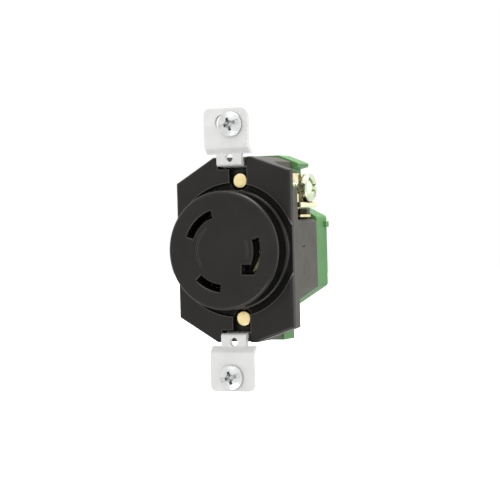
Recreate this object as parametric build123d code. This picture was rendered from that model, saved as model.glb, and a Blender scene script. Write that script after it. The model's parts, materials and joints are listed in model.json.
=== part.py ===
"""Flush locking receptacle, 30 A, two pole three wire grounding, for a single gang device box.

A black face with three curved blade slots stands through the wall plate. Behind it lie a steel mounting
strap, a grey base that holds three brass contacts, and a green back cap. Two long brass rivets hold the
stack together. Each contact ends in a terminal seat with a screw and a wire clamp at the side.

Frame: X to the right seen from the front, Y from the front to the back, Z up. The origin is on the
face's axis, in the front plane of the strap's two necks, where the wall plate screws enter.
"""

from build123d import *

import os

# Outline of the face plate, seen from the front
HALF_WIDTH = 20.6
HALF_HEIGHT = 30.5
CAP_HALF_HEIGHT = 31.2
FLAT_LEFT = 6.9
FLAT_RIGHT = 7.3
LEFT_CORNER_Z = 22.3
RIGHT_CORNER_Z = 25.8

# Planes along Y, front to back
FACE_FRONT = -7.1
LIP_BACK = -5.3
SHOULDER_FRONT = 0.8
PLATE_FRONT = 1.9
PLATE_BACK = 4.7
FLANGE_BACK = 8.0
BASE_BACK = 24.0
CAP_BACK = 33.4

# Round face
LIP_R = 19.5
LIP_FILLET = 1.3
GROOVE_R = 16.9
SHOULDER_R = 19.9
RELIEF_R, RELIEF_DEPTH = 22.0, 1.4
FACE_CAVITY_R = 15.2
FACE_WALL = 2.6
GUIDE_DEPTH = 3.6
INLAY_R, INLAY_WIDTH, INLAY_DEPTH = 9.2, 0.35, 0.15
INLAY_SPANS = ((126, 214), (-16, 20))
SLOT_R0, SLOT_R1 = 11.1, 13.6
LINE_SLOT = (106.7, 159.7)
NEUTRAL_SLOT = (-135.3, -94.5)
GROUND_SLOT = (-35.8, 17.5)
TOE = (6.75, 10.9, -7.9, -4.7)
SLOT_CHAMFER = 0.2

# Mounting strap
STRAP_T = 1.5
NECK_HALF = 4.5
NECK_LOW_Z = 27.4
EAR_HALF = 7.75
EAR_LOW_Z, EAR_BEND_Z, EAR_TOP_Z = 31.5, 33.9, 46.3
EAR_FRONT = -2.05
STRAP_RING_R0, STRAP_RING_R1 = 16.4, 18.4
TONGUE_HALF = 5.2
BOX_SCREW_Z = 83.34 / 2
BOX_SLOT_LENGTH, BOX_SLOT_HEIGHT = 7.6, 5.0
PLATE_SCREW_Z = 60.3 / 2
PLATE_SCREW_R = 1.4
PLATE_SCREW_ROOM_Y = 15.0

# Fasteners
RIVET_X, RIVET_Z = 2.5, 22.6
RIVET_R, RIVET_HOLE_R = 1.35, 1.45
RIVET_HEAD_R, RIVET_HEAD_T = 2.55, 1.0
RIVET_RECESS_R, RIVET_SEAT_Y = 3.2, 3.9
BOX_HEAD_R, BOX_HEAD_T = 4.1, 2.1
BOX_THREAD_R, BOX_NECK_R = 1.75, 1.4
BOX_SCREW_LENGTH = 9.5
BOX_NECK_END_Y = 0.5
TOP_SCREW_X, TOP_SCREW_DROP = 1.95, 0.7
WASHER_R, WASHER_HOLE_R, WASHER_T = 3.6, 1.5, 0.6

# Contacts, each a U of sheet brass around the blade's path
LEAF_T = 0.8
LEAF_R0, LEAF_R1 = 10.7, 13.9
CONTACT_FRONT, CONTACT_WEB_Y = 0.4, 19.0
WEB_T = 1.2
POCKET_R0, POCKET_R1 = 9.6, 15.0
SPRING_T = 0.35
SPRING_FRONT = 3.6

# Terminals, drawn for the ground terminal at the upper right
WALL_X = 13.9
SEAT_X0, SEAT_T = 14.0, 1.5
SEAT_Y0, SEAT_Y1 = 8.6, 22.4
SCREW_Y, GROUND_SCREW_Z, SIDE_SCREW_Z = 15.8, 19.8, 17.0
CLAMP_X, CLAMP_T, RIB_T = 19.4, 1.2, 2.1
HEAD_R, HEAD_T = 4.6, 3.2
SCREW_R, SCREW_HOLE_R, SCREW_LENGTH = 2.05, 2.12, 10.4
SCREW_BORE_X, SCREW_BORE_R = 5.9, 2.4
POCKET_BELOW, POCKET_ABOVE = 10.4, 6.0
BACK_WALL_X, BACK_WALL_Y, BACK_WALL_DROP = 18.3, 21.5, 6.7
SILL_CHAMFER = 0.9

FIT = 0.1
FRONT_AXIS = Axis((0, 0, 0), (0, -1, 0))


def slab(sketch, y0, y1):
    """A sketch drawn in X and Z, made solid from y0 back to y1."""
    return extrude(Plane((0, y1, 0), (1, 0, 0), (0, -1, 0)) * sketch, amount=y1 - y0)


def disc(r, y0, y1, x=0.0, z=0.0):
    return slab(Pos(x, z) * Circle(r), y0, y1)


def block(x0, x1, y0, y1, z0, z1):
    return Pos((x0 + x1) / 2, (y0 + y1) / 2, (z0 + z1) / 2) * Box(x1 - x0, y1 - y0, z1 - z0)


def outline(points):
    """A closed outline through (x, z) points."""
    return make_face(Polyline(*points, close=True))


def sector(r0, r1, a0, a1):
    """A piece of a ring between two angles, in degrees up from +X."""
    outer = CenterArc((0, 0), r1, a0, a1 - a0)
    inner = CenterArc((0, 0), r0, a0, a1 - a0)
    return make_face([outer, inner, Line(outer @ 0, inner @ 0), Line(outer @ 1, inner @ 1)])


def swept_profile(points, a0, a1):
    """A profile of (radius, y) points turned about the face's axis from angle a0 to a1."""
    turned = revolve(make_face(Polyline(*points, close=True)), FRONT_AXIS, revolution_arc=a1 - a0)
    return turned.rotate(FRONT_AXIS, a0)


def x_cylinder(r, x0, x1, y, z):
    return Pos((x0 + x1) / 2, y, z) * Rot(0, 90, 0) * Cylinder(r, x1 - x0)


def both_ends(shape):
    """The shape and its mirror image below the middle."""
    return shape + mirror(shape, Plane.XY)


def plate_outline():
    return outline([
        (-HALF_WIDTH, -LEFT_CORNER_Z), (-HALF_WIDTH, LEFT_CORNER_Z), (-FLAT_LEFT, HALF_HEIGHT),
        (FLAT_RIGHT, HALF_HEIGHT), (HALF_WIDTH, RIGHT_CORNER_Z), (HALF_WIDTH, -RIGHT_CORNER_Z),
        (FLAT_RIGHT, -HALF_HEIGHT), (-FLAT_LEFT, -HALF_HEIGHT),
    ])


# ---------------------------------------------------------------- face

def blade_slots():
    """The three curved slots and the ground slot's inward toe."""
    curved = [sector(SLOT_R0, SLOT_R1, *span) for span in (LINE_SLOT, NEUTRAL_SLOT, GROUND_SLOT)]
    x0, x1, z0, z1 = TOE
    toe = Pos((x0 + x1) / 2, (z0 + z1) / 2) * Rectangle(x1 - x0, z1 - z0)
    return curved + [toe & Circle(SLOT_R1)]


def slot_room(slot):
    """The space of one slot right through the face, wider at its chamfered mouth."""
    front = Plane((0, FACE_FRONT, 0), (1, 0, 0), (0, -1, 0))
    wide = offset(slot, SLOT_CHAMFER, kind=Kind.INTERSECTION)
    mouth = extrude(front * wide, amount=-SLOT_CHAMFER, taper=45)
    return slab(slot, FACE_FRONT - 1, PLATE_BACK) + mouth


def neck_notch():
    """Opening for the strap's upper neck, with a deeper dark gap below the bend."""
    x0, x1 = -NECK_HALF - 0.5, NECK_HALF + 0.2
    through = outline([
        (x0, NECK_LOW_Z - 0.35), (x1, NECK_LOW_Z - 0.35), (x1, HALF_HEIGHT - 1.2),
        (x1 + 1.3, HALF_HEIGHT + 1), (x0 - 0.8, HALF_HEIGHT + 1), (x0, HALF_HEIGHT - 1.0),
    ])
    gap = block(x0, x1, -1, RIVET_SEAT_Y, NECK_LOW_Z - 0.95, NECK_LOW_Z)
    return slab(through, -1, PLATE_BACK + 1) + gap


def face_cover():
    plate = slab(plate_outline(), PLATE_FRONT, PLATE_BACK)
    front_rim = plate.faces().sort_by(Axis.Y)[0].edges()
    plate = fillet(front_rim, 0.9)
    shoulder = disc(SHOULDER_R, SHOULDER_FRONT, PLATE_BACK)
    shoulder = fillet(shoulder.faces().sort_by(Axis.Y)[0].edges(), 0.8)
    lip = disc(LIP_R, FACE_FRONT, LIP_BACK)
    lip = fillet(lip.faces().sort_by(Axis.Y)[0].edges(), LIP_FILLET)
    lip = fillet(lip.faces().sort_by(Axis.Y)[-1].edges(), 0.3)
    neck = disc(GROOVE_R, LIP_BACK, SHOULDER_FRONT)
    # A relief groove runs round the shoulder's foot.
    plate -= slab(Circle(RELIEF_R) - Circle(SHOULDER_R - 0.5), PLATE_FRONT - 1, PLATE_FRONT + RELIEF_DEPTH)
    face = plate + shoulder + lip + neck
    face -= disc(FACE_CAVITY_R, FACE_FRONT + FACE_WALL, PLATE_BACK)
    for slot in blade_slots():
        face -= slot_room(slot)
    for span in INLAY_SPANS:
        line = sector(INLAY_R - INLAY_WIDTH, INLAY_R, *span)
        face -= slab(line, FACE_FRONT - 1, FACE_FRONT + INLAY_DEPTH)
    face -= both_ends(neck_notch())
    recess = disc(RIVET_RECESS_R, SHOULDER_FRONT - 1, RIVET_SEAT_Y, RIVET_X - 0.3, RIVET_Z)
    channel_x = RIVET_X - 0.3
    channel = block(channel_x - RIVET_RECESS_R, channel_x + RIVET_RECESS_R, SHOULDER_FRONT - 1, RIVET_SEAT_Y,
                    RIVET_Z, NECK_LOW_Z)
    face -= both_ends(recess + channel)
    face -= both_ends(disc(RIVET_HOLE_R, 0, PLATE_BACK + 1, RIVET_X, RIVET_Z))
    # Guide collars behind the slots steer the blades to the contacts.
    for a0, a1 in (LINE_SLOT, NEUTRAL_SLOT):
        collar = sector(SLOT_R0 - 1.0, SLOT_R1 + 1.0, a0 - 5, a1 + 5) - sector(SLOT_R0, SLOT_R1, a0, a1)
        face += slab(collar, FACE_FRONT + FACE_WALL - 0.2, FACE_FRONT + FACE_WALL + GUIDE_DEPTH)
    return face


# ---------------------------------------------------------------- strap

def strap_end():
    """The bent upper end: leg through the face, neck, step forward and ear."""
    t = STRAP_T
    side = outline_yz([
        (PLATE_BACK + t, NECK_LOW_Z - 2), (PLATE_BACK + t, NECK_LOW_Z + t), (t, NECK_LOW_Z + t),
        (t, EAR_LOW_Z + 0.5), (EAR_FRONT + t, EAR_BEND_Z + 0.5), (EAR_FRONT + t, EAR_TOP_Z),
        (EAR_FRONT, EAR_TOP_Z), (EAR_FRONT, EAR_BEND_Z), (0, EAR_LOW_Z), (0, NECK_LOW_Z),
        (PLATE_BACK, NECK_LOW_Z), (PLATE_BACK, NECK_LOW_Z - 2),
    ])
    bent = extrude(side, amount=EAR_HALF, both=True)
    bend_edges = bent.edges().filter_by(Axis.X)
    bends = {
        (t, NECK_LOW_Z + t): 0.4, (0, NECK_LOW_Z): 1.1, (PLATE_BACK, NECK_LOW_Z): 0.3,
        (PLATE_BACK + t, NECK_LOW_Z + t): 1.1, (0, EAR_LOW_Z): 1.2, (t, EAR_LOW_Z + 0.5): 2.4,
        (EAR_FRONT, EAR_BEND_Z): 2.4, (EAR_FRONT + t, EAR_BEND_Z + 0.5): 1.2,
    }
    for (y, z), radius in bends.items():
        near = bend_edges.sort_by_distance((0, y, z))[0]
        bent = fillet(bent.edges().filter_by(Axis.X).sort_by_distance(near.center())[0], radius)
    front = make_face(Polyline(
        (-NECK_HALF, NECK_LOW_Z - 2), (NECK_HALF, NECK_LOW_Z - 2), (NECK_HALF, EAR_LOW_Z),
        (EAR_HALF, EAR_LOW_Z), (EAR_HALF, EAR_TOP_Z), (-EAR_HALF, EAR_TOP_Z), (-EAR_HALF, EAR_LOW_Z),
        (-NECK_HALF, EAR_LOW_Z), close=True))
    corners = front.vertices().group_by(Axis.Y)[-1]
    front = fillet(corners, 2.0)
    end = bent & slab(front, -10, 15)
    slot = Pos(0, BOX_SCREW_Z) * SlotOverall(BOX_SLOT_LENGTH, BOX_SLOT_HEIGHT)
    end -= slab(slot, -10, 10)
    end -= disc(PLATE_SCREW_R, -1, PLATE_BACK + STRAP_T + 1, 0, PLATE_SCREW_Z)
    return end


def outline_yz(points):
    """A closed outline through (y, z) points, in the plane X = 0."""
    return make_face(Polyline(*[(0, y, z) for y, z in points], close=True))


def mounting_strap():
    ring = slab(Circle(STRAP_RING_R1) - Circle(STRAP_RING_R0), PLATE_BACK, PLATE_BACK + STRAP_T)
    tongue = block(-TONGUE_HALF, TONGUE_HALF, PLATE_BACK, PLATE_BACK + STRAP_T,
                   STRAP_RING_R0 + 0.6, NECK_LOW_Z - 1.4)
    strap = ring + both_ends(tongue + strap_end())
    strap -= both_ends(disc(RIVET_HOLE_R, PLATE_BACK - 1, PLATE_BACK + STRAP_T + 1, RIVET_X, RIVET_Z))
    bond = disc(0.95, PLATE_BACK - 1, PLATE_BACK + STRAP_T + 1, *BOND_POINT)
    return strap - bond


# ---------------------------------------------------------------- base and cap

BOND_POINT = (17.4, -1.5)


def base_outline():
    """The base behind its flange: the plate's outline with the lower right corner cut back."""
    return outline([
        (-HALF_WIDTH, -LEFT_CORNER_Z), (-HALF_WIDTH, LEFT_CORNER_Z), (-FLAT_LEFT, HALF_HEIGHT),
        (FLAT_RIGHT, HALF_HEIGHT), (HALF_WIDTH, RIGHT_CORNER_Z), (HALF_WIDTH, -13.2), (FLAT_RIGHT, -21.5),
        (FLAT_RIGHT, -HALF_HEIGHT), (-FLAT_LEFT, -HALF_HEIGHT),
    ])


def terminal_pocket(screw_z, roof_x):
    """Room for a terminal on the right, open to the side and, beside a low wall, to the back."""
    low, high = screw_z - POCKET_BELOW, screw_z + POCKET_ABOVE
    room = block(WALL_X, 30, FLANGE_BACK, BASE_BACK + 1, low, high)
    wall_x = SEAT_X0 + SEAT_T + 0.2
    room -= block(wall_x, BACK_WALL_X, BACK_WALL_Y, BASE_BACK + 1, low, screw_z - BACK_WALL_DROP)
    sill = outline([
        (HALF_WIDTH - SILL_CHAMFER, low + 0.01), (30, low + 0.01), (30, low - 2),
        (HALF_WIDTH, low - SILL_CHAMFER),
    ])
    room += slab(sill, FLANGE_BACK, BASE_BACK + 1)
    beyond_roof = block(roof_x, 30, FLANGE_BACK, BASE_BACK + 1, high - 0.1, 40)
    front = block(WALL_X, 30, PLATE_BACK - 1, FLANGE_BACK, screw_z + 0.3, high)
    front_beyond = block(max(roof_x, WALL_X), 30, PLATE_BACK - 1, FLANGE_BACK, high - 0.1, 40)
    bore = x_cylinder(SCREW_BORE_R, SCREW_BORE_X, WALL_X + 1, SCREW_Y, screw_z)
    return room + beyond_roof + front + front_beyond + bore


def to_line(shape):
    """Moves a shape drawn for the ground terminal to the line terminal, at the upper left."""
    return mirror(Pos(0, 0, SIDE_SCREW_Z - GROUND_SCREW_Z) * shape, Plane.YZ)


def to_neutral(shape):
    """Moves a shape drawn for the ground terminal to the neutral terminal, at the lower left."""
    return mirror(to_line(shape), Plane.XY)


def arm_shapes():
    """The contacts' flat arms, from the web behind each slot to its terminal seat."""
    ground = outline([(10.9, 2.0), (13.7, 2.0), (15.5, 9.5), (15.5, 16.0), (14.0, 16.0), (9.8, 6.4)])
    line = outline([(-9.6, 7.6), (-11.8, 3.6), (-13.6, 3.6), (-15.5, 7.4), (-15.5, 13.0), (-14.0, 13.0)])
    neutral = outline([(-8.0, -8.6), (-10.0, -6.6), (-13.8, -8.2), (-15.5, -8.2), (-15.5, -15.0),
                       (-14.0, -15.0), (-9.2, -10.6)])
    return ground, line, neutral


CONTACT_SPANS = {"ground": (-44.0, 27.0), "line": (100.0, 167.0), "neutral": (-143.0, -87.0)}
SPRING_SPANS = {"ground": (-42.0, -18.0), "line": (104.0, 132.0), "neutral": (-118.0, -90.0)}


def contact_base():
    flange, body = plate_outline(), base_outline()
    base = slab(fillet(flange.vertices(), 0.5), PLATE_BACK, FLANGE_BACK)
    base += slab(fillet(body.vertices(), 0.4), FLANGE_BACK, BASE_BACK)
    base -= terminal_pocket(GROUND_SCREW_Z, 12.0)
    side_pocket = terminal_pocket(GROUND_SCREW_Z, 16.4)
    base -= to_line(side_pocket)
    base -= to_neutral(side_pocket)
    # Seat for the strap's ring and tongues
    depth = PLATE_BACK + STRAP_T + FIT
    base -= slab(Circle(STRAP_RING_R1 + 0.2) - Circle(STRAP_RING_R0 - 0.2), PLATE_BACK - 1, depth)
    tongue_seat = block(-TONGUE_HALF - 0.2, TONGUE_HALF + 0.2, PLATE_BACK - 1, depth, 16.6, HALF_HEIGHT + 1)
    base -= both_ends(tongue_seat)
    # Room for the wall plate screws behind the necks
    base -= both_ends(block(-2.3, 2.3, PLATE_BACK - 1, PLATE_SCREW_ROOM_Y, 28.0, HALF_HEIGHT + 1))
    # Contact pockets run right through and are closed by the cap.
    for a0, a1 in CONTACT_SPANS.values():
        base -= slab(sector(POCKET_R0, POCKET_R1, a0 - 4, a1 + 4), PLATE_BACK - 1, BASE_BACK + 1)
    for arm in arm_shapes():
        base -= slab(offset(arm, 0.3), CONTACT_WEB_Y - 0.3, BASE_BACK + 1)
    # The ground contact's bonding tab reaches the back of the strap.
    base -= block(14, 19.3, PLATE_BACK, PLATE_BACK + STRAP_T + 2.4, -4.3, 1.3)
    base -= both_ends(disc(RIVET_HOLE_R, 0, 40, RIVET_X, RIVET_Z))
    base -= disc(7.6, 11.0, BASE_BACK + 1)
    # A short moulding mark in the right side
    base -= block(HALF_WIDTH - 0.35, HALF_WIDTH + 1, 10.8, 13.4, 0.2, 0.9)
    return base


def cap_outline():
    """The cap reaches both sides in the middle and leaves the terminals clear above and below."""
    right = [
        (FLAT_RIGHT, CAP_HALF_HEIGHT), (13.2, 28.9), (14.6, 28.2), (14.3, 27.1), (11.6, 26.5),
        (11.6, 14.2), (13.4, 13.9), (HALF_WIDTH, 10.3), (HALF_WIDTH, -13.0), (7.7, -20.9),
        (7.7, -CAP_HALF_HEIGHT),
    ]
    left = [
        (-FLAT_LEFT, -CAP_HALF_HEIGHT), (-15.4, -24.4), (-15.0, -9.0), (-HALF_WIDTH, -6.6),
        (-HALF_WIDTH, 6.6), (-15.0, 9.0), (-15.4, 24.4), (-FLAT_LEFT, CAP_HALF_HEIGHT),
    ]
    return outline(right + left)


def cap_hollow_outline():
    """About 2 mm inside the cap's outline."""
    return outline([
        (-6.1, 28.7), (6.7, 28.7), (8.2, 27.6), (8.2, 11.4), (12.8, 10.6), (18.3, 8.5),
        (18.3, -11.5), (5.7, -19.4), (5.7, -28.7), (-6.1, -28.7), (-13.2, -23.5), (-13.0, -7.6),
        (-18.3, -5.2), (-18.3, 5.2), (-13.0, 7.6), (-13.2, 23.5),
    ])


def back_cap():
    face = cap_outline()
    face = fillet(face.vertices().filter_by(lambda v: v.X > HALF_WIDTH - 0.1), 1.4)
    cap = slab(face, BASE_BACK, CAP_BACK)
    cap = chamfer(cap.faces().sort_by(Axis.Y)[-1].edges(), 0.6)
    hollow = slab(cap_hollow_outline(), BASE_BACK - 1, CAP_BACK - 2.0)
    bosses = both_ends(disc(3.6, BASE_BACK, CAP_BACK - 1, RIVET_X, RIVET_Z))
    bosses += disc(5.0, BASE_BACK, CAP_BACK - 1)
    cap -= hollow - bosses
    # Fingers reach into the base and hold each contact's web down.
    for a0, a1 in CONTACT_SPANS.values():
        finger = sector(POCKET_R0 + 0.3, POCKET_R1 - 0.3, a0 - 2, a1 + 2)
        cap += slab(finger, CONTACT_WEB_Y + WEB_T + 0.7, CAP_BACK - 1)
    latch = block(HALF_WIDTH - 1, HALF_WIDTH + 0.9, CAP_BACK - 3.0, CAP_BACK - 0.8, 6.6, 8.6)
    cap += fillet(latch.edges().filter_by(Axis.Y), 0.35)
    cap -= both_ends(disc(RIVET_HOLE_R, 0, 40, RIVET_X, RIVET_Z))
    cap -= both_ends(disc(2.9, CAP_BACK - 0.9, CAP_BACK + 1, RIVET_X, RIVET_Z))
    # Shallow panel in the back, and a wire strip gauge beside it
    panel = Rectangle(17, 24)
    cap -= slab(fillet(panel.vertices(), 1.5), CAP_BACK - 0.5, CAP_BACK + 1)
    cap -= block(-17.2, -11.0, CAP_BACK - 0.5, CAP_BACK + 1, -0.6, 0.6)
    return cap


# ---------------------------------------------------------------- contacts

def contact_leaves(a0, a1):
    """Two leaves flared at the mouth, joined by a web at the back."""
    r0, r1, t, flare = LEAF_R0, LEAF_R1, LEAF_T, 0.7
    y0, y1, y2 = CONTACT_FRONT, CONTACT_FRONT + 2.6, CONTACT_WEB_Y + WEB_T
    profile = [
        (r0 - flare, y0), (r0 - flare + t, y0), (r0 + t, y1), (r0 + t, CONTACT_WEB_Y),
        (r1 - t, CONTACT_WEB_Y), (r1 - t, y1), (r1 + flare - t, y0), (r1 + flare, y0),
        (r1, y1), (r1, y2), (r0, y2), (r0, y1),
    ]
    return swept_profile(profile, a0, a1)


def seat_plate():
    """The ground terminal's tapped seat, with a flange along its lower edge."""
    z0 = GROUND_SCREW_Z - 9.6
    seat = block(SEAT_X0, SEAT_X0 + SEAT_T, SEAT_Y0, SEAT_Y1, z0, GROUND_SCREW_Z + 5.0)
    seat = fillet(seat.edges().filter_by(Axis.X), 0.8)
    seat += block(SEAT_X0, 20.2, 11.2, 19.8, z0, z0 + 0.8)
    return seat - x_cylinder(SCREW_HOLE_R, SEAT_X0 - 1, SEAT_X0 + SEAT_T + 1, SCREW_Y, GROUND_SCREW_Z)


def bonding_tab():
    """Joins the ground contact's outer leaf to the strap's ring."""
    y0 = PLATE_BACK + STRAP_T
    tab = block(LEAF_R1 - 0.4, 19.0, y0 + 0.02, y0 + 0.92, -4.0, 1.0)
    x, z = BOND_POINT
    return tab - disc(0.95, y0 - 1, y0 + 2, x, z)


def contacts():
    arms = arm_shapes()
    seats = seat_plate(), to_line(seat_plate()), to_neutral(seat_plate())
    made = {}
    for name, arm, seat in zip(CONTACT_SPANS, arms, seats):
        web = slab(arm, CONTACT_WEB_Y, CONTACT_WEB_Y + WEB_T)
        made[name] = contact_leaves(*CONTACT_SPANS[name]) + web + seat
    made["ground"] += bonding_tab()
    return made


def contact_spring(a0, a1):
    """A steel clip that presses the two leaves together from outside."""
    r0, r1, t = LEAF_R0 - 0.05, LEAF_R1 + 0.05, SPRING_T
    y0, y1 = SPRING_FRONT, CONTACT_WEB_Y + WEB_T + 0.05
    profile = [
        (r0 - t, y0), (r0, y0), (r0, y1), (r1, y1), (r1, y0), (r1 + t, y0),
        (r1 + t, y1 + t), (r0 - t, y1 + t),
    ]
    return swept_profile(profile, a0, a1)


# ---------------------------------------------------------------- terminals and fasteners

def cross_recess(r, width, depth):
    """A crossed drive recess sunk down from Z = 0, with one arm run out as a slot."""
    arms = Box(2 * r, width, 2 * depth) + Box(width, 1.25 * r, 2 * depth)
    core = Cone(0.0, 0.42 * r, 1.3 * depth, align=(Align.CENTER, Align.CENTER, Align.MIN))
    return arms + Pos(0, 0, -1.3 * depth) * core


def domed_head(r, height, drive_turn):
    """A screw head on Z = 0, crowned, with a crossed recess turned by drive_turn degrees."""
    crown = 0.55 * height
    sphere_r = (r * r + crown * crown) / (2 * crown)
    head = Cylinder(r, height, align=(Align.CENTER, Align.CENTER, Align.MIN))
    head &= Pos(0, 0, height - sphere_r) * Sphere(sphere_r)
    recess = Pos(0, 0, height) * cross_recess(0.82 * r, 0.26 * r, 0.5 * height)
    return head - Rot(0, 0, drive_turn) * recess


def terminal_screw(drive_turn):
    """Head on the wire clamp, shank through the clamp and the seat."""
    head = domed_head(HEAD_R, HEAD_T, drive_turn)
    shank = Cylinder(SCREW_R, SCREW_LENGTH, align=(Align.CENTER, Align.CENTER, Align.MAX))
    shank = chamfer(shank.edges().sort_by(Axis.Z)[0], 0.5)
    return Pos(CLAMP_X + CLAMP_T, SCREW_Y, GROUND_SCREW_Z) * Rot(0, 90, 0) * (head + shank)


def wire_clamp():
    """Pressure plate under the screw head, with a thick rib along its lower edge."""
    z = GROUND_SCREW_Z
    plate = block(CLAMP_X, CLAMP_X + CLAMP_T, 12.0, 20.6, z - 6.2, z + 4.4)
    rib = block(CLAMP_X, CLAMP_X + RIB_T, 8.6, 22.4, z - 6.4, z - 4.7)
    clamp = plate + fillet(rib.edges().filter_by(Axis.Y), 0.35)
    return clamp - x_cylinder(SCREW_HOLE_R + 0.15, CLAMP_X - 1, CLAMP_X + CLAMP_T + 1, SCREW_Y, z)


def mounting_screw(x, z, drive_turn):
    """Box screw: head on the ear, thinner neck through the ear, threaded end behind it."""
    head = domed_head(BOX_HEAD_R, BOX_HEAD_T, drive_turn)
    neck_length = BOX_NECK_END_Y - EAR_FRONT
    neck = Cylinder(BOX_NECK_R, neck_length, align=(Align.CENTER, Align.CENTER, Align.MAX))
    thread_length = BOX_SCREW_LENGTH - neck_length
    thread = Cylinder(BOX_THREAD_R, thread_length, align=(Align.CENTER, Align.CENTER, Align.MAX))
    thread = chamfer(thread.edges().sort_by(Axis.Z)[0], 0.4)
    return Pos(x, EAR_FRONT, z) * Rot(90, 0, 0) * (head + neck + Pos(0, 0, -neck_length) * thread)


def screw_retainer(x, z):
    """Fibre washer on the screw's neck, behind the ear."""
    y0 = EAR_FRONT + STRAP_T + 0.05
    return disc(WASHER_R, y0, y0 + WASHER_T, x, z) - disc(WASHER_HOLE_R, y0 - 1, y0 + 2, x, z)


def assembly_rivet(z):
    """Brass rivet from the face's recess to the back of the cap."""
    head_front = RIVET_SEAT_Y - RIVET_HEAD_T
    head = disc(RIVET_HEAD_R, head_front, RIVET_SEAT_Y, RIVET_X, z)
    head = fillet(head.faces().sort_by(Axis.Y)[0].edges(), 0.35)
    shaft = disc(RIVET_R, head_front + 0.5, CAP_BACK - 0.3, RIVET_X, z)
    rolled = disc(2.3, CAP_BACK - 0.9, CAP_BACK - 0.3, RIVET_X, z)
    dimple = disc(0.7, CAP_BACK - 1.4, CAP_BACK, RIVET_X, z)
    return head + shaft + rolled - dimple


def bond_rivet():
    """Small rivet that joins the bonding tab to the strap."""
    x, z = BOND_POINT
    y0, y1 = PLATE_BACK + 0.02, PLATE_BACK + STRAP_T + 0.92
    return disc(0.9, y0, y1, x, z) + disc(1.5, y1, y1 + 0.6, x, z)


def build():
    brass = contacts()
    clamp, screw = wire_clamp(), terminal_screw(38)
    parts = {
        "face_cover": face_cover(),
        "mounting_strap": mounting_strap(),
        "contact_base": contact_base(),
        "back_cap": back_cap(),
        "ground_contact": brass["ground"],
        "line_contact": brass["line"],
        "neutral_contact": brass["neutral"],
        "ground_wire_clamp": clamp,
        "line_wire_clamp": to_line(clamp),
        "neutral_wire_clamp": to_neutral(clamp),
        "ground_terminal_screw": screw,
        "line_terminal_screw": to_line(terminal_screw(12)),
        "neutral_terminal_screw": to_neutral(terminal_screw(65)),
        "ground_bond_rivet": bond_rivet(),
    }
    for name, span in SPRING_SPANS.items():
        parts[f"{name}_contact_spring"] = contact_spring(*span)
    # The upper screw hangs to one side in its slot, the lower one sits in the middle.
    ends = (("top", 1, TOP_SCREW_X, TOP_SCREW_DROP, 28), ("bottom", -1, 0.0, 0.0, 20))
    for end, sign, x, drop, turn in ends:
        parts[f"assembly_rivet_{end}"] = assembly_rivet(sign * RIVET_Z)
        parts[f"mounting_screw_{end}"] = mounting_screw(x, sign * BOX_SCREW_Z - drop, turn)
        parts[f"screw_retainer_{end}"] = screw_retainer(x, sign * BOX_SCREW_Z - drop)
    return parts


os.makedirs("parts", exist_ok=True)
for node, shape in build().items():
    export_step(shape, f"parts/{node}.step")
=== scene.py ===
"""Looks of the flush locking receptacle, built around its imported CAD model. Lengths are in metres.

The frame is the CAD's: X right seen from the front, Y from front to back, Z up.
"""

import json
import math

import bmesh
import bpy
from mathutils import Matrix, Vector


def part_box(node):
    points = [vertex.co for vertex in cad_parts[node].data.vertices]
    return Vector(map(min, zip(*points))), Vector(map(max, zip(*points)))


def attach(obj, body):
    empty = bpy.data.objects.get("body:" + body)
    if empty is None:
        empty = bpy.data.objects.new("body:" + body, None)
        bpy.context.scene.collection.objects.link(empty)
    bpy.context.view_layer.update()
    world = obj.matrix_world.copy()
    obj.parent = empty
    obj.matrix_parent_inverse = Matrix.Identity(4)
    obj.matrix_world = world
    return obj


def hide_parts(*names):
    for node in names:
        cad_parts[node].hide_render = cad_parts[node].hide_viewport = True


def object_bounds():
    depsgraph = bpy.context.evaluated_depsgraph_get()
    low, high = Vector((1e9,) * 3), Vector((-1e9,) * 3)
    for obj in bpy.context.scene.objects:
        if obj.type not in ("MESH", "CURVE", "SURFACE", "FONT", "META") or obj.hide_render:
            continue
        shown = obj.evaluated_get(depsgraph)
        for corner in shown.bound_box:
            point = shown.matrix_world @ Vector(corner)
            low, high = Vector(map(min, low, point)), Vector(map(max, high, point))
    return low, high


MM = 0.001
TAU = 2 * math.pi

# Camera, with its angles in degrees
CAM_AZIMUTH, CAM_ELEVATION, CAM_ROLL = 24.566, 1.039, -1.522
CAM_DISTANCE, CAM_OFFSET_X = 577.1 * MM, 6.165 * MM
SENSOR, LENS = 36.0, 126.86

# Floor
FLOOR_HALF_WIDTH, FLOOR_DROP, FLOOR_GLOW = 6.0, 0.17, 0.9

# Screws
BOX_HEAD_R, BOX_HEAD_T, BOX_LENGTH = 4.1 * MM, 2.1 * MM, 9.5 * MM
BOX_SHANK_R, BOX_NECK_R, BOX_NECK_LENGTH, BOX_NECK_OVERLAP = 1.75 * MM, 1.4 * MM, 2.55 * MM, 0.05 * MM
TERMINAL_HEAD_R, TERMINAL_HEAD_T = 4.6 * MM, 3.2 * MM
TERMINAL_SHANK_R, TERMINAL_LENGTH, TERMINAL_PLAIN = 2.05 * MM, 10.4 * MM, 1.3 * MM
PITCH, THREAD_DEPTH = 0.794 * MM, 0.36 * MM
THREAD_FLAT = 0.12           # each crest's and root's flat, in pitches
END_TAPER = 1.2              # the end's taper, in pitches along the shank and in thread depths across it

# Screw heads, in shares of the head's height
BOX_CROWN, TERMINAL_CROWN = 0.5, 0.45
RIM_ROUND = 0.2
SLOT_DEPTH, ARM_DEPTH = 0.42, 0.85
CORE_ABOVE, CORE_SHOULDER, CORE_TIP = 0.6, 0.35, 0.95

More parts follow.
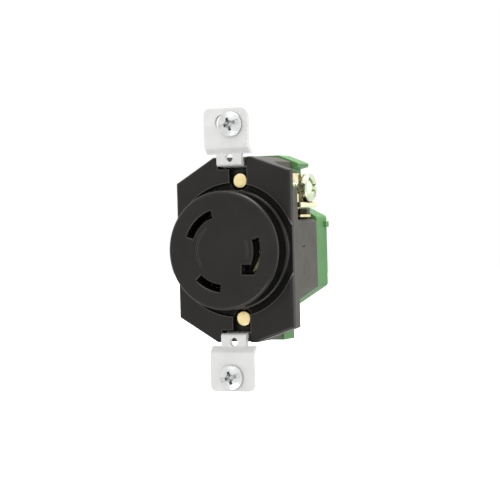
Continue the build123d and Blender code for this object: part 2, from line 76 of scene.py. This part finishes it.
# Screw heads, in shares of the head's radius
SLOT_LENGTH, SLOT_WIDTH, SLOT_LEAN = 1.72, 0.34, 0.01
ARM_LENGTH, ARM_WIDTH, ARM_LEAN = 1.16, 0.3, 0.05
CORE_TOP_R, CORE_LOW_R = 0.40, 0.30
HEAD_BEVEL = 0.022

# A recess leans in more at its ends than at its sides, by this factor
END_LEAN = 2.2

# Meshes
HEAD_SEGMENTS, CORE_SEGMENTS, SHANK_SEGMENTS, RINGS_PER_PITCH = 96, 32, 48, 12
CROWN_STEPS, RIM_STEPS = 14, 6
BEVEL_ANGLE, CREASE_ANGLE = math.radians(40), math.radians(34)
POINT_GAP = 0.002 * MM       # points closer than this become one

# Materials
AO_SAMPLES = 8
NOISE_ROUGHNESS = 0.55


# ---------------------------------------------------------------- materials

def linear(*srgb):
    """An sRGB colour of 0 to 255 values as the linear colour that shaders take."""
    channels = []
    for value in srgb:
        v = value / 255
        channels.append(v / 12.92 if v <= 0.04045 else ((v + 0.055) / 1.055) ** 2.4)
    return (*channels, 1.0)


class Nodes:
    """A material's node tree, with short calls to add what the materials below share."""

    def __init__(self, name, roughness, **constants):
        self.material = bpy.data.materials.new(name)
        self.material.use_nodes = True
        self.tree = self.material.node_tree
        self.shader = self.tree.nodes["Principled BSDF"]
        self.shader.inputs["Roughness"].default_value = roughness
        for socket, value in constants.items():
            self.shader.inputs[socket.replace("_", " ")].default_value = value
        self.coords = self.add("ShaderNodeTexCoord").outputs["Object"]

    def add(self, kind, **inputs):
        """A new node; each input is a number, a colour or another node's socket."""
        node = self.tree.nodes.new(kind)
        for socket, value in inputs.items():
            self.set(node, socket.replace("_", " "), value)
        return node

    def set(self, node, socket, value):
        if isinstance(value, bpy.types.NodeSocket):
            self.tree.links.new(value, node.inputs[socket])
        else:
            node.inputs[socket].default_value = value

    def stretched(self, scale):
        """Object coordinates stretched by scale along X, Y and Z."""
        return self.add("ShaderNodeMapping", Vector=self.coords, Scale=scale).outputs["Vector"]

    def noise(self, per_mm, detail=4.0, vector=None):
        """Noise with per_mm cells to the millimetre."""
        node = self.add("ShaderNodeTexNoise", Vector=vector or self.coords, Scale=per_mm / MM, Detail=detail,
                        Roughness=NOISE_ROUGHNESS)
        return node.outputs["Fac"]

    def spread(self, value, low, high, out_low=0.0, out_high=1.0):
        """value's range low to high, mapped on to out_low to out_high."""
        node = self.add("ShaderNodeMapRange", Value=value)
        sockets = {"From Min": low, "From Max": high, "To Min": out_low, "To Max": out_high}
        for socket, number in sockets.items():
            node.inputs[socket].default_value = number
        return node.outputs["Result"]

    def mix(self, factor, a, b):
        """Colour a where factor is 0, colour b where it is 1."""
        node = self.tree.nodes.new("ShaderNodeMix")
        node.data_type = "RGBA"
        self.set(node, 0, factor)
        self.set(node, 6, a)
        self.set(node, 7, b)
        return node.outputs[2]

    def multiply(self, a, b):
        node = self.tree.nodes.new("ShaderNodeMath")
        node.operation = "MULTIPLY"
        self.set(node, 0, a)
        self.set(node, 1, b)
        return node.outputs[0]

    def edges(self, width_mm=0.35):
        """1 along outside edges, fading to 0 over width_mm."""
        node = self.add("ShaderNodeAmbientOcclusion", Distance=width_mm * MM)
        node.inside = True
        node.only_local = True
        node.samples = AO_SAMPLES
        return self.spread(node.outputs["AO"], 0.95, 0.55)

    def hollows(self, depth_mm):
        """1 in hollows narrower than about depth_mm, 0 on open faces."""
        node = self.add("ShaderNodeAmbientOcclusion", Distance=depth_mm * MM)
        node.samples = AO_SAMPLES
        return self.spread(node.outputs["AO"], 0.85, 0.5)

    def bump(self, height, depth_mm, strength, below=None):
        """A normal with height's relief, on top of the normal below."""
        node = self.add("ShaderNodeBump", Height=height, Distance=depth_mm * MM, Strength=strength)
        if below is not None:
            self.set(node, "Normal", below)
        return node.outputs["Normal"]

    def finish(self, colour, roughness=None, normal=None):
        self.set(self.shader, "Base Color", colour)
        if roughness is not None:
            self.set(self.shader, "Roughness", roughness)
        if normal is not None:
            self.set(self.shader, "Normal", normal)
        return self.material


def black_nylon():
    """Satin black nylon with fine spark-eroded grain, outside edges lightened by a painted highlight with
    some wear, and duller hollows darkened by painted shade.
    """
    n = Nodes("black nylon", 0.36, Specular_IOR_Level=0.33, Specular_Tint=(1.0, 0.98, 0.94, 1))
    cloud = n.noise(0.09, 5.0)
    base = n.mix(n.spread(cloud, 0.35, 0.65), linear(16, 15, 13), linear(24, 23, 20))
    # Painted highlight along the outside edges, with some edge wear.
    edge_wear_and_highlight = n.mix(n.multiply(n.edges(0.42), 0.5), base, linear(112, 110, 106))
    hollow = n.hollows(2.4)
    # Painted shade: the colour is darkened towards black in the hollows.
    colour = n.mix(hollow, edge_wear_and_highlight, linear(2, 2, 2))
    satin = n.spread(n.noise(0.35, 6.0), 0.3, 0.7, 0.3, 0.42)
    roughness = n.add("ShaderNodeMapRange", Value=hollow, To_Min=satin, To_Max=1.0).outputs["Result"]
    grain = n.bump(n.noise(9.0, 2.0), 0.012, 0.5)
    return n.finish(colour, roughness, n.bump(n.noise(0.16, 3.0), 0.03, 0.35, below=grain))


def grey_phenolic():
    """Warm grey moulding compound, matt, with flow clouds and small filler specks."""
    n = Nodes("grey phenolic", 0.62, Specular_IOR_Level=0.35)
    cloud = n.spread(n.noise(0.12, 5.0), 0.32, 0.68)
    base = n.mix(cloud, linear(77, 76, 70), linear(88, 86, 79))
    specks = n.spread(n.noise(4.5, 2.0), 0.66, 0.74)
    colour = n.mix(n.multiply(specks, 0.35), base, linear(74, 72, 68))
    # Lighter outside edges: edge wear and a painted edge highlight.
    colour = n.mix(n.multiply(n.edges(), 0.3), colour, linear(140, 138, 132))
    roughness = n.spread(n.noise(0.5, 4.0), 0.3, 0.7, 0.55, 0.68)
    return n.finish(colour, roughness, n.bump(n.noise(6.0, 3.0), 0.015, 0.6))


def green_nylon():
    """Green moulded nylon, slightly cloudy, paler along the edges from wear and a painted edge highlight."""
    n = Nodes("green nylon", 0.5, Specular_IOR_Level=0.4, Subsurface_Weight=0.06, Subsurface_Scale=0.0015)
    cloud = n.spread(n.noise(0.11, 5.0), 0.32, 0.68)
    base = n.mix(cloud, linear(77, 131, 71), linear(88, 141, 82))
    # Paler outside edges: edge wear and a painted edge highlight.
    colour = n.mix(n.multiply(n.edges(), 0.5), base, linear(132, 184, 126))
    roughness = n.spread(n.noise(0.5, 5.0), 0.3, 0.7, 0.42, 0.56)
    grain = n.bump(n.noise(7.0, 2.0), 0.012, 0.5)
    return n.finish(colour, roughness, n.bump(n.noise(0.2, 3.0), 0.03, 0.3, below=grain))


def plated_steel():
    """Dull zinc over rolled steel strip: fine rolling lines along the strip, soft plating clouds."""
    n = Nodes("plated steel", 0.5, Metallic=0.2)
    lines = n.noise(2.2, 3.0, n.stretched((1.0, 0.25, 0.06)))
    cloud = n.noise(0.18, 6.0)
    base = n.mix(n.spread(cloud, 0.35, 0.65), linear(217, 218, 215), linear(227, 227, 225))
    colour = n.mix(n.multiply(n.spread(lines, 0.55, 0.8), 0.2), base, linear(200, 200, 197))
    roughness = n.spread(cloud, 0.35, 0.65, 0.4, 0.52)
    return n.finish(colour, roughness, n.bump(lines, 0.006, 0.5))


def rolled_brass(name, light, dark, roughness):
    """Rolled brass with tarnish in clouds, painted shade darkening the hollows, and bright edges from wear
    and a painted edge highlight.
    """
    n = Nodes(name, roughness, Metallic=1.0)
    cloud = n.spread(n.noise(0.22, 6.0), 0.38, 0.66)
    base = n.mix(cloud, light, dark)
    # Bright outside edges: edge wear and a painted edge highlight.
    edge_wear_and_highlight = n.mix(n.multiply(n.edges(), 0.5), base, linear(250, 232, 176))
    # Painted shade: dark brown in the hollows.
    colour = n.mix(n.hollows(3.0), edge_wear_and_highlight, linear(64, 50, 22))
    lines = n.noise(3.0, 3.0, n.stretched((0.2, 0.2, 1.0)))
    rough = n.spread(n.noise(0.6, 4.0), 0.3, 0.7, roughness - 0.06, roughness + 0.1)
    return n.finish(colour, rough, n.bump(lines, 0.008, 0.5))


def plated_screw(name, light, dark, roughness=0.26):
    """Plated screw: bright crown, with painted shade darkening the recess and thread roots."""
    n = Nodes(name, roughness, Metallic=1.0)
    cloud = n.spread(n.noise(0.5, 5.0), 0.35, 0.65)
    colour = n.mix(n.multiply(cloud, 0.3), light, dark)
    # Painted shade: darker grey in the recess and thread roots.
    colour = n.mix(n.multiply(n.hollows(1.0), 0.75), colour, linear(96, 98, 96))
    rough = n.spread(n.noise(0.9, 4.0), 0.3, 0.7, roughness - 0.06, roughness + 0.12)
    return n.finish(colour, rough, n.bump(n.noise(3.5, 3.0), 0.006, 0.5))


def spring_steel():
    """Bare spring steel with faint bluish clouds."""
    n = Nodes("spring steel", 0.34, Metallic=1.0)
    colour = n.mix(n.spread(n.noise(0.4, 5.0), 0.35, 0.65), linear(150, 152, 156), linear(118, 120, 128))
    return n.finish(colour, n.spread(n.noise(0.8), 0.3, 0.7, 0.28, 0.42), n.bump(n.noise(5.0), 0.005, 0.4))


def pressed_fibre():
    """Red-brown vulcanised fibre with visible fibres."""
    n = Nodes("pressed fibre", 0.8)
    fibres = n.noise(2.5, 6.0, n.stretched((1.0, 4.0, 0.4)))
    colour = n.mix(n.spread(fibres, 0.35, 0.65), linear(112, 62, 44), linear(146, 92, 66))
    return n.finish(colour, normal=n.bump(fibres, 0.02, 0.7))


def all_materials():
    """Each material slot's material."""
    return {
        "face_black": black_nylon(),
        "base_grey": grey_phenolic(),
        "cap_green": green_nylon(),
        "strap_plated": plated_steel(),
        "contact_brass": rolled_brass("contact brass", linear(252, 244, 204), linear(236, 220, 164), 0.36),
        "rivet_brass": rolled_brass("rivet brass", linear(252, 238, 186), linear(246, 218, 152), 0.34),
        "terminal_brass": rolled_brass("terminal brass", linear(255, 253, 224), linear(250, 240, 190), 0.36),
        "screw_steel": plated_screw("steel screw", linear(226, 227, 227), linear(176, 178, 180), 0.34),
        "screw_brass": plated_screw("brass screw", linear(236, 206, 124), linear(160, 124, 56)),
        "screw_silver": plated_screw("silver screw", linear(226, 224, 214), linear(148, 146, 136)),
        "screw_green": plated_screw("green screw", linear(226, 236, 208), linear(150, 172, 122)),
        "spring_steel": spring_steel(),
        "washer_fibre": pressed_fibre(),
    }


# ---------------------------------------------------------------- meshes

def mesh_object(name, bm):
    bmesh.ops.recalc_face_normals(bm, faces=bm.faces)
    mesh = bpy.data.meshes.new(name)
    bm.to_mesh(mesh)
    bm.free()
    obj = bpy.data.objects.new(name, mesh)
    bpy.context.scene.collection.objects.link(obj)
    return obj


def moved(obj, matrix):
    obj.data.transform(matrix)
    return obj


def apply_modifiers(obj):
    depsgraph = bpy.context.evaluated_depsgraph_get()
    mesh = bpy.data.meshes.new_from_object(obj.evaluated_get(depsgraph))
    old = obj.data
    obj.modifiers.clear()
    obj.data = mesh
    bpy.data.meshes.remove(old)


def cut(obj, *cutters):
    """Cuts the cutters out of obj and deletes them."""
    for cutter in cutters:
        modifier = obj.modifiers.new("cut", "BOOLEAN")
        modifier.operation = "DIFFERENCE"
        modifier.solver = "EXACT"
        modifier.object = cutter
        apply_modifiers(obj)
        bpy.data.objects.remove(cutter)


def merge_close_points(obj):
    """Joins the nearly equal points that cuts leave, and drops the slivers between them."""
    bm = bmesh.new()
    bm.from_mesh(obj.data)
    bmesh.ops.remove_doubles(bm, verts=bm.verts, dist=POINT_GAP)
    bmesh.ops.dissolve_degenerate(bm, edges=bm.edges, dist=POINT_GAP)
    bm.to_mesh(obj.data)
    bm.free()


def bevel_edges(obj, width):
    bevel = obj.modifiers.new("edge", "BEVEL")
    bevel.width = width
    bevel.segments = 2
    bevel.limit_method = "ANGLE"
    bevel.angle_limit = BEVEL_ANGLE
    apply_modifiers(obj)


def ring_of_points(bm, r, z, segments):
    angles = [TAU * i / segments for i in range(segments)]
    return [bm.verts.new((r * math.cos(angle), r * math.sin(angle), z)) for angle in angles]


def lathe(name, profile, segments):
    """Turns a profile of (radius, height) points about Z, closed by a fan where the radius is 0."""
    bm = bmesh.new()
    rings = [ring_of_points(bm, r, z, segments if r else 1) for r, z in profile]
    for lower, upper in zip(rings, rings[1:]):
        for i in range(segments):
            j = (i + 1) % segments
            corners = [lower[i % len(lower)], lower[j % len(lower)]]
            corners += [upper[j % len(upper)], upper[i % len(upper)]]
            bm.faces.new(list(dict.fromkeys(corners)))
    return mesh_object(name, bm)


def arc(cx, cz, r, a0, a1, steps):
    """Points on an arc, from a0 to a1 degrees."""
    angles = [math.radians(a0 + (a1 - a0) * i / steps) for i in range(steps + 1)]
    return [(cx + r * math.cos(a), cz + r * math.sin(a)) for a in angles]


def crowned_head_profile(r, height, crown, round_r):
    """From the centre of the crown, out and down round the rim, and back in under the head."""
    sphere_r = (r * r + crown * crown) / (2 * crown)
    top = []
    for i in range(CROWN_STEPS + 1):
        x = (r - round_r) * i / CROWN_STEPS
        top.append((x, height - sphere_r + math.sqrt(sphere_r ** 2 - x * x)))
    rim = arc(r - round_r, top[-1][1] - round_r, round_r, 80, 0, RIM_STEPS)
    chamfer = 0.4 * round_r
    return top + rim + [(r, chamfer), (r - chamfer, 0.0), (0, 0.0)]


def tapered_prism(length, width, depth, taper):
    """A bar through Z = 0 with sides that lean in by taper on the way down, and ends by more."""
    bm = bmesh.new()
    corners = ((-1, -1), (1, -1), (1, 1), (-1, 1))
    low_x, low_y = length / 2 - END_LEAN * taper, width / 2 - taper
    lower = [bm.verts.new((sx * low_x, sy * low_y, -depth)) for sx, sy in corners]
    upper = [bm.verts.new((sx * length / 2, sy * width / 2, depth)) for sx, sy in corners]
    bm.faces.new(lower[::-1])
    bm.faces.new(upper)
    for i in range(4):
        j = (i + 1) % 4
        bm.faces.new((lower[i], lower[j], upper[j], upper[i]))
    return mesh_object("cutter", bm)


def recess_cutters(r, height):
    """The tapered core of a crossed recess, its two arms and one full slot, with the head's top at Z = 0."""
    above, shoulder, tip = CORE_ABOVE * height, -CORE_SHOULDER * height, -CORE_TIP * height
    cone = [(0, above), (CORE_TOP_R * r, above), (CORE_LOW_R * r, shoulder), (0, tip)]
    core = lathe("cutter", cone, CORE_SEGMENTS)
    arms = [tapered_prism(ARM_LENGTH * r, ARM_WIDTH * r, ARM_DEPTH * height, ARM_LEAN * r) for _ in range(2)]
    moved(arms[1], Matrix.Rotation(math.pi / 2, 4, "Z"))
    slot = tapered_prism(SLOT_LENGTH * r, SLOT_WIDTH * r, SLOT_DEPTH * height, SLOT_LEAN * r)
    return core, *arms, slot


def screw_head(r, height, crown, turn):
    """A head on Z = 0, crowned by that share of its height, with its recess turned by turn degrees."""
    profile = crowned_head_profile(r, height, crown * height, RIM_ROUND * height)
    head = lathe("head", profile, HEAD_SEGMENTS)
    top = Matrix.Translation((0, 0, height))
    cut(head, *[moved(cutter, top) for cutter in recess_cutters(r, height)])
    merge_close_points(head)
    bevel_edges(head, HEAD_BEVEL * r)
    return moved(head, Matrix.Rotation(math.radians(turn), 4, "Z"))


def thread_radius(r, length, plain, z, angle):
    """The shank's radius at height z: a helical V groove that fades in after plain, and a tapered end."""
    wave = abs(2 * ((z / PITCH + angle / TAU) % 1.0) - 1)
    groove = min(1.0, max(0.0, (wave - THREAD_FLAT) / (1 - 2 * THREAD_FLAT)))
    start = min(1.0, max(0.0, (-z - plain) / PITCH))
    end = min(1.0, max(0.0, (length + z) / (END_TAPER * PITCH)))
    return min(r - THREAD_DEPTH * groove * start, r - THREAD_DEPTH * (1 - end) * END_TAPER)


def threaded_shank(r, length, plain=0.0):
    """A shank from Z = 0 down to -length, plain at first, then threaded, with a tapered end."""
    steps = int(length / PITCH * RINGS_PER_PITCH)
    bm = bmesh.new()
    rings = []
    for k in range(steps + 1):
        z = -length * k / steps
        ring = []
        for i in range(SHANK_SEGMENTS):
            angle = TAU * i / SHANK_SEGMENTS
            radius = thread_radius(r, length, plain, z, angle)
            ring.append(bm.verts.new((radius * math.cos(angle), radius * math.sin(angle), z)))
        rings.append(ring)
    for lower, upper in zip(rings, rings[1:]):
        for i in range(SHANK_SEGMENTS):
            j = (i + 1) % SHANK_SEGMENTS
            bm.faces.new((lower[i], upper[i], upper[j], lower[j]))
    bm.faces.new(rings[0])
    bm.faces.new(rings[-1][::-1])
    return mesh_object("shank", bm)


def joined(name, objects):
    """One object made of several, as separate shells, smooth but for its creases."""
    bm = bmesh.new()
    for obj in objects:
        bm.from_mesh(obj.data)
    result = mesh_object(name, bm)
    result.data.shade_smooth()
    result.data.set_sharp_from_angle(angle=CREASE_ANGLE)
    for obj in objects:
        bpy.data.objects.remove(obj)
    return result


def dress(obj, node, body, slot, materials):
    """obj stands for a CAD node, rides on its body and takes its material."""
    obj.data.materials.clear()
    obj.data.materials.append(materials[slot])
    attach(obj, body)
    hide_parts(node)


def box_screws(materials):
    """The two mounting screws, pointing back along Y."""
    for end, turn in (("top", 16), ("bottom", 14)):
        node = f"mounting_screw_{end}"
        low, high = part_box(node)
        centre_x, centre_z = (low[0] + high[0]) / 2, (low[2] + high[2]) / 2
        seat_y = high[1] - BOX_LENGTH
        head = screw_head(BOX_HEAD_R, BOX_HEAD_T, BOX_CROWN, turn)
        top, bottom = BOX_NECK_OVERLAP, -BOX_NECK_LENGTH - BOX_NECK_OVERLAP
        neck_profile = [(0, top), (BOX_NECK_R, top), (BOX_NECK_R, bottom), (0, bottom)]
        neck = lathe("neck", neck_profile, SHANK_SEGMENTS)
        shank = threaded_shank(BOX_SHANK_R, BOX_LENGTH - BOX_NECK_LENGTH)
        moved(shank, Matrix.Translation((0, 0, -BOX_NECK_LENGTH)))
        screw = joined(node + "_threaded", [head, neck, shank])
        moved(screw, Matrix.Translation((centre_x, seat_y, centre_z)) @ Matrix.Rotation(math.pi / 2, 4, "X"))
        dress(screw, node, f"{end}_screw", "screw_steel", materials)


def terminal_screws(materials):
    """The three wire screws, pointing in along X from the right or the left."""
    terminals = (("ground", 1, 38, "screw_green"), ("line", -1, 12, "screw_brass"),
                 ("neutral", -1, 65, "screw_silver"))
    for name, side, turn, slot in terminals:
        node = f"{name}_terminal_screw"
        low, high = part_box(node)
        centre_y, centre_z = (low[1] + high[1]) / 2, (low[2] + high[2]) / 2
        head = screw_head(TERMINAL_HEAD_R, TERMINAL_HEAD_T, TERMINAL_CROWN, turn)
        shank = threaded_shank(TERMINAL_SHANK_R, TERMINAL_LENGTH, TERMINAL_PLAIN)
        screw = joined(node + "_threaded", [head, shank])
        seat_x = side * (max(abs(low[0]), abs(high[0])) - TERMINAL_HEAD_T)
        moved(screw, Matrix.Rotation(side * math.pi / 2, 4, "Y"))
        moved(screw, Matrix.Translation((seat_x, centre_y, centre_z)))
        dress(screw, node, f"{name}_screw", slot, materials)


def carried_over(frame, materials):
    """CAD nodes that stay as they are take their slot's material."""
    slots = {part["node"]: part["material_slot"] for part in frame["record"]["subparts"]}
    for node, obj in frame["nodes"].items():
        for slot in obj.material_slots:
            slot.material = materials[slots[node]]


# ---------------------------------------------------------------- stage

def white_floor():
    """A pale, faintly glowing floor well below the object, unseen by its reflections."""
    low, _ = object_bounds()
    bm = bmesh.new()
    bmesh.ops.create_grid(bm, x_segments=1, y_segments=1, size=FLOOR_HALF_WIDTH)
    floor = mesh_object("floor", bm)
    floor.location.z = low[2] - FLOOR_DROP
    n = Nodes("floor", 0.9, Emission_Color=(1, 1, 1, 1), Emission_Strength=FLOOR_GLOW)
    shade = n.mix(n.spread(n.noise(0.002), 0.3, 0.7), linear(250, 250, 250), linear(254, 254, 254))
    floor.data.materials.append(n.finish(shade))
    floor.visible_diffuse = False
    floor.visible_glossy = False


def white_world():
    world = bpy.data.worlds.new("studio")
    world.use_nodes = True
    background = world.node_tree.nodes["Background"]
    background.inputs["Color"].default_value = (1, 1, 1, 1)
    background.inputs["Strength"].default_value = 1.0
    bpy.context.scene.world = world


def area_light(name, position, size, power):
    """A rectangular lamp that faces the origin, with its power in watts."""
    data = bpy.data.lights.new(name, "AREA")
    data.shape = "RECTANGLE"
    data.size, data.size_y = size
    data.energy = power
    light = bpy.data.objects.new(name, data)
    light.location = position
    light.rotation_euler = (-Vector(position)).to_track_quat("-Z", "Y").to_euler()
    bpy.context.scene.collection.objects.link(light)


def lights():
    area_light("key", (-0.3, -0.9, 0.9), (0.7, 0.5), 1.0)
    area_light("overhead", (0.15, 0.15, 1.2), (0.9, 0.9), 18.0)
    area_light("bounce", (0.1, -0.5, -0.7), (0.8, 0.5), 4.0)
    area_light("right strip", (0.95, 0.42, 0.10), (0.10, 0.9), 1.0)


def camera():
    """The photo's view: azimuth from the front towards the right, then elevation, then roll."""
    azimuth, elevation = math.radians(CAM_AZIMUTH), math.radians(CAM_ELEVATION)
    roll = math.radians(CAM_ROLL)
    back = Vector((math.sin(azimuth) * math.cos(elevation), -math.cos(azimuth) * math.cos(elevation),
                   math.sin(elevation)))
    level = Vector((math.cos(azimuth), math.sin(azimuth), 0))
    raised = back.cross(level)
    right = level * math.cos(roll) + raised * math.sin(roll)
    up = raised * math.cos(roll) - level * math.sin(roll)
    data = bpy.data.cameras.new("camera")
    data.sensor_width = SENSOR
    data.lens = LENS
    data.clip_start = 0.05
    cam = bpy.data.objects.new("camera", data)
    axes = Matrix((right, up, back)).transposed().to_4x4()
    cam.matrix_world = Matrix.Translation(back * CAM_DISTANCE + right * CAM_OFFSET_X) @ axes
    bpy.context.scene.collection.objects.link(cam)
    bpy.context.scene.camera = cam


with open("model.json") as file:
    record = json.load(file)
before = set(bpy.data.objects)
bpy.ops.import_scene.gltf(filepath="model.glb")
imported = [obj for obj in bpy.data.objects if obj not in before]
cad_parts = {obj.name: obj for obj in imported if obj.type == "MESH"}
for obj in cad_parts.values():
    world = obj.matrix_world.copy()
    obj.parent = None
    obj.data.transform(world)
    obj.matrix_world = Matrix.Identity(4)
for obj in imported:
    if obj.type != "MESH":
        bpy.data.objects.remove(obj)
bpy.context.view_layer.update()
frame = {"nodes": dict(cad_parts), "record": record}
bpy.context.scene.view_settings.view_transform = "Standard"
finishes = all_materials()
carried_over(frame, finishes)
box_screws(finishes)
terminal_screws(finishes)
white_floor()
white_world()
lights()
camera()
